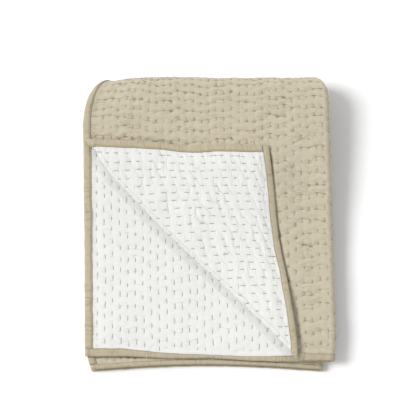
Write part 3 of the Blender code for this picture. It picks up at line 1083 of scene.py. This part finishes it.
def cloth_look(name, side, cloth):
    """Puckered cotton: fine creases from stitch to stitch, small wrinkles, a weave, and shade painted
    into the creases, stitches' dents and ripples.
    """
    look = Look(name)
    wobble = (look.patches(*WOBBLES) - 0.5) * LINE_WOBBLE
    strength = look.attribute("strength")
    from_column = look.attribute("place").off_whole() * COLUMN
    patchy = (look.patches(*SPOTS) * 2.6 - 0.65).held()
    near = from_column.ridge(SEWN_WIDTH) * 0.55 + 0.45 * patchy
    from_crease = look.attribute("crease").off_whole() * PITCH + wobble
    crease = from_crease.ridge(cloth["crease_width"]) * near
    from_far_crease = look.attribute("far_crease").off_whole() * PITCH + wobble
    far_crease = from_far_crease.ridge(cloth["crease_width"] * 0.8)
    double = (look.patches(*DOUBLED) * 4.0 - 1.7).held()
    crease = (crease * (1.0 - double * 0.4) + far_crease * near * double) * strength
    crinkled = (look.patches(*CRINKLED) * 3.2 - 1.3).held()
    crinkle = (look.patches(*CRINKLES, 1.0) - 0.5).ridge(CRINKLE_WIDTH) * crinkled
    in_dash = (1.0 - look.attribute("turn").off_whole() * (PITCH / DASH[side]) * 1.6).held()
    dent = from_column.ridge(DENT_LINE_WIDTH) * in_dash * strength
    from_ripple = look.attribute("ripple").off_whole() * PITCH + wobble
    ripple = from_ripple.ridge(RIPPLE_LINE_WIDTH) * look.attribute("corner")

    slubs_across = look.patches(*SLUBS_ACROSS)
    slubs_along = look.patches(*SLUBS_ALONG)
    clouds = look.patches(*CLOUDS, 3.0)
    share = slubs_across * 0.35 + slubs_along * 0.35 + clouds * 0.6 - 0.15
    colour = look.mix(share.held(), cloth["light"], cloth["dark"])
    pressed = look.attribute("pressed").ridge(PRESSED_LINE_WIDTH) * (patchy * 0.5 + 0.5)
    # Shade is painted into the colour along the creases, crinkles and stitches' dents, and along the
    # corner's ripples and pressed line.
    shade = (crease + crinkle * 0.35) * cloth["painted_crease_shade"] + dent * cloth["dent_shade"]
    shade = shade + (ripple + pressed) * cloth["painted_ripple_and_pressed_shade"]
    colour = look.mix(shade.held(), colour, cloth["crease"])

    wrinkles = look.patches(*WRINKLES, 3.0, 0.55)
    height = wrinkles * cloth["wrinkling"] - crease * 0.7 - dent * 0.3 - ripple * 0.3
    height = height - crinkle * 0.35 * cloth["wrinkling"] + look.weave(YARN) * 0.07
    return look.finish(colour, slubs_across * 0.12 + 0.82, look.bump(height, BUMP_HEIGHT))


def strip_patches(look, along, inwards, rates, detail):
    """Soft unevenness of a strip, so many patches to a metre along it and across it."""
    place = look.node("ShaderNodeCombineXYZ", None, {"X": along * rates[0], "Y": inwards * rates[1]})
    return look.unevenness(place.outputs["Vector"], detail)


def strip_look():
    """The binding's cloth, with its small cross creases, shade painted into its pinches, and its line
    of topstitching.
    """
    look = Look("linen_strip")
    along, inwards = look.attribute("along"), look.attribute("inwards")
    creases = strip_patches(look, along, inwards, STRIP_CREASES, 3.0)
    share = creases * 0.7 + look.patches(*STRIP_CLOUDS, 3.0) * 0.7 - 0.25
    colour = look.mix(share.held(), STRIP_LIGHT, STRIP_DARK)
    pinches = strip_patches(look, along, inwards, STRIP_PINCHES, 1.0)
    pinch = (pinches - 0.5).ridge(PINCH_WIDTH) * (look.patches(*PINCHED) * 3.0 - 1.1).held()
    # Painted shade in the pinches.
    colour = look.mix((pinch * 0.45).held(), colour, STRIP_SEAM_AND_PINCH_SHADE)
    seam = (inwards - (BINDING_WIDTH - SEAM_FROM_EDGE)).ridge(SEAM_WIDTH)
    edge = (inwards - BINDING_WIDTH).ridge(STRIP_EDGE_WIDTH)
    colour = look.mix((seam * 0.30 + edge * 0.45).held(), colour, STRIP_SEAM_AND_PINCH_SHADE)
    height = creases * 1.0 + look.weave(YARN) * 0.08 - seam * 0.45 - pinch * 0.6
    return look.finish(colour, creases * 0.1 + 0.82, look.bump(height, BUMP_HEIGHT))


def thread_look(name, light, dark):
    """Soft cotton thread."""
    look = Look(name)
    twist = look.patches(*TWIST)
    colour = look.mix(twist, light, dark)
    return look.finish(colour, twist * 0.1 + 0.85, look.bump(twist, TWIST_HEIGHT))


# The quilt ------------------------------------------------------------------------

def make_panels():
    """The face and the backing."""
    across = sewn_lines(COLUMNS)
    hidden = (FACE_HIDDEN_END, COARSE_ALONG)
    face_along = spaced(((FACE_HIDDEN_START, FINE_ALONG), hidden, (LENGTH, FINE_ALONG)))
    backing_along = spaced(((BACKING_HIDDEN_START, FINE_ALONG), (LENGTH, COARSE_ALONG)))
    face = cloth_panel("quilt_face", across, face_along, 1)
    backing = cloth_panel("quilt_backing", across, backing_along, -1)
    return face, backing


def make_strips():
    """The four binding strips: the end strips cap the corners, and the side strips butt on them."""
    wrap = BINDING_SEAT + BINDING_CLOTH
    butt = BINDING_WIDTH + BUTT_GAP
    ends = spaced(((WIDTH + 2.0 * wrap, STRIP_SPACING),)) - wrap
    sides = spaced(((LENGTH - 2.0 * butt, STRIP_SPACING),)) + butt
    return [
        binding_strip("strip_front_edge", ends, on_front_edge, seed=21.0, closed_ends=True),
        binding_strip("strip_rear_edge", ends, on_rear_edge, seed=33.0, closed_ends=True),
        binding_strip("strip_left_edge", sides, on_left_edge, seed=45.0, closed_ends=False),
        binding_strip("strip_right_edge", sides, on_right_edge, seed=57.0, closed_ends=False),
    ]


def make_quilt():
    """All the pieces, with their materials; the slot each one stands for is listed beside it and not
    used further.
    """
    face, backing = make_panels()
    face_stitches = running_stitch("face_stitches", 1)
    backing_stitches = running_stitch("backing_stitches", -1)
    strips = make_strips()

    linen = cloth_look("linen_cloth", 1, LINEN)
    white = cloth_look("white_cloth", -1, WHITE)
    strip_cloth = strip_look()
    # The face's thread carries painted shade of its dents.
    face_thread_and_pit_shade = thread_look("linen_thread_and_pit_shade", *LINEN_THREAD_AND_PIT_SHADE)
    backing_thread = thread_look("tan_thread", *TAN_THREAD)
    dressed = [
        (face, linen, "linen_cloth"),
        (backing, white, "white_cloth"),
        (face_stitches, face_thread_and_pit_shade, "linen_cloth"),
        (backing_stitches, backing_thread, "linen_cloth"),
    ]
    dressed += [(strip, strip_cloth, "linen_binding") for strip in strips]
    for piece, material, slot in dressed:
        piece.data.materials.append(material)

    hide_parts("face_cloth")
    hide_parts("backing_cloth")
    for strip in strips:
        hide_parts(strip.name.replace("strip", "binding"))
    return [piece for piece, material, slot in dressed]


# The studio -----------------------------------------------------------------------

FLOOR_SIZE = 30.0
FLOOR_COLOUR = (0.93, 0.93, 0.93, 1.0)
VIEW_ELEVATION = math.radians(72.0)
VIEW_DISTANCE = 4.0
VIEW_AIM = Vector((-0.0009, 0.0207, 0.040))
VIEW_WIDTH = 0.7675
SENSOR = 36.0
FLOOR_LAMP = {"turn": 0.0, "elevation": 44.0, "spread": 30.0, "strength": 2.8}
QUILT_LAMP = {"turn": 12.0, "elevation": 45.0, "spread": 26.0, "strength": 2.75}
FILL_LAMP = {"turn": 160.0, "elevation": 50.0, "spread": 3.0, "strength": 0.45}
SKY_COLOUR = (1.0, 1.0, 1.0, 1.0)
SKY_STRENGTH = 0.62


def add_floor():
    """A wide, plain, pale floor."""
    bm = bmesh.new()
    bmesh.ops.create_grid(bm, x_segments=1, y_segments=1, size=FLOOR_SIZE / 2.0)
    floor = add_object("floor", mesh_of("floor", bm))
    paper = Look("pale_floor")
    paper.fill(paper.shader, {"Base Color": FLOOR_COLOUR, "Roughness": 1.0, "Specular IOR Level": 0.0})
    floor.data.materials.append(paper.material)
    return floor


def add_lamp(name, lamp, lit):
    """A distant lamp that lights some objects: turn is counted from the left towards the rear."""
    light = bpy.data.lights.new(name, "SUN")
    light.energy = lamp["strength"]
    light.angle = math.radians(lamp["spread"])
    holder = add_object(name, light)
    turn, elevation = math.radians(lamp["turn"]), math.radians(lamp["elevation"])
    flat = math.cos(elevation)
    towards = Vector((-flat * math.cos(turn), flat * math.sin(turn), math.sin(elevation)))
    holder.rotation_euler = towards.to_track_quat("Z", "Y").to_euler()
    receivers = bpy.data.collections.new("lit_by_" + name)
    for piece in lit:
        receivers.objects.link(piece)
    holder.light_linking.receiver_collection = receivers


def make_studio(pieces):
    """A pale floor and an even sky, soft lamps from the left, and a weak one from the rear right."""
    world = bpy.data.worlds.new("studio")
    world.use_nodes = True
    sky = world.node_tree.nodes["Background"]
    sky.inputs["Color"].default_value = SKY_COLOUR
    sky.inputs["Strength"].default_value = SKY_STRENGTH
    bpy.context.scene.world = world
    add_lamp("floor_lamp", FLOOR_LAMP, [add_floor()])
    add_lamp("quilt_lamp", QUILT_LAMP, pieces)
    add_lamp("fill_lamp", FILL_LAMP, pieces)


def make_camera():
    """A long lens at the photograph's viewing angle."""
    camera = bpy.data.cameras.new("camera")
    camera.sensor_width = SENSOR
    camera.lens = SENSOR * VIEW_DISTANCE / VIEW_WIDTH
    holder = add_object("camera", camera)
    back = Vector((0.0, -math.cos(VIEW_ELEVATION), math.sin(VIEW_ELEVATION)))
    holder.location = VIEW_AIM + back * VIEW_DISTANCE
    holder.rotation_euler = back.to_track_quat("Z", "Y").to_euler()
    bpy.context.scene.camera = holder


make_camera()
make_studio(make_quilt())
bpy.context.scene.view_settings.view_transform = "Standard"
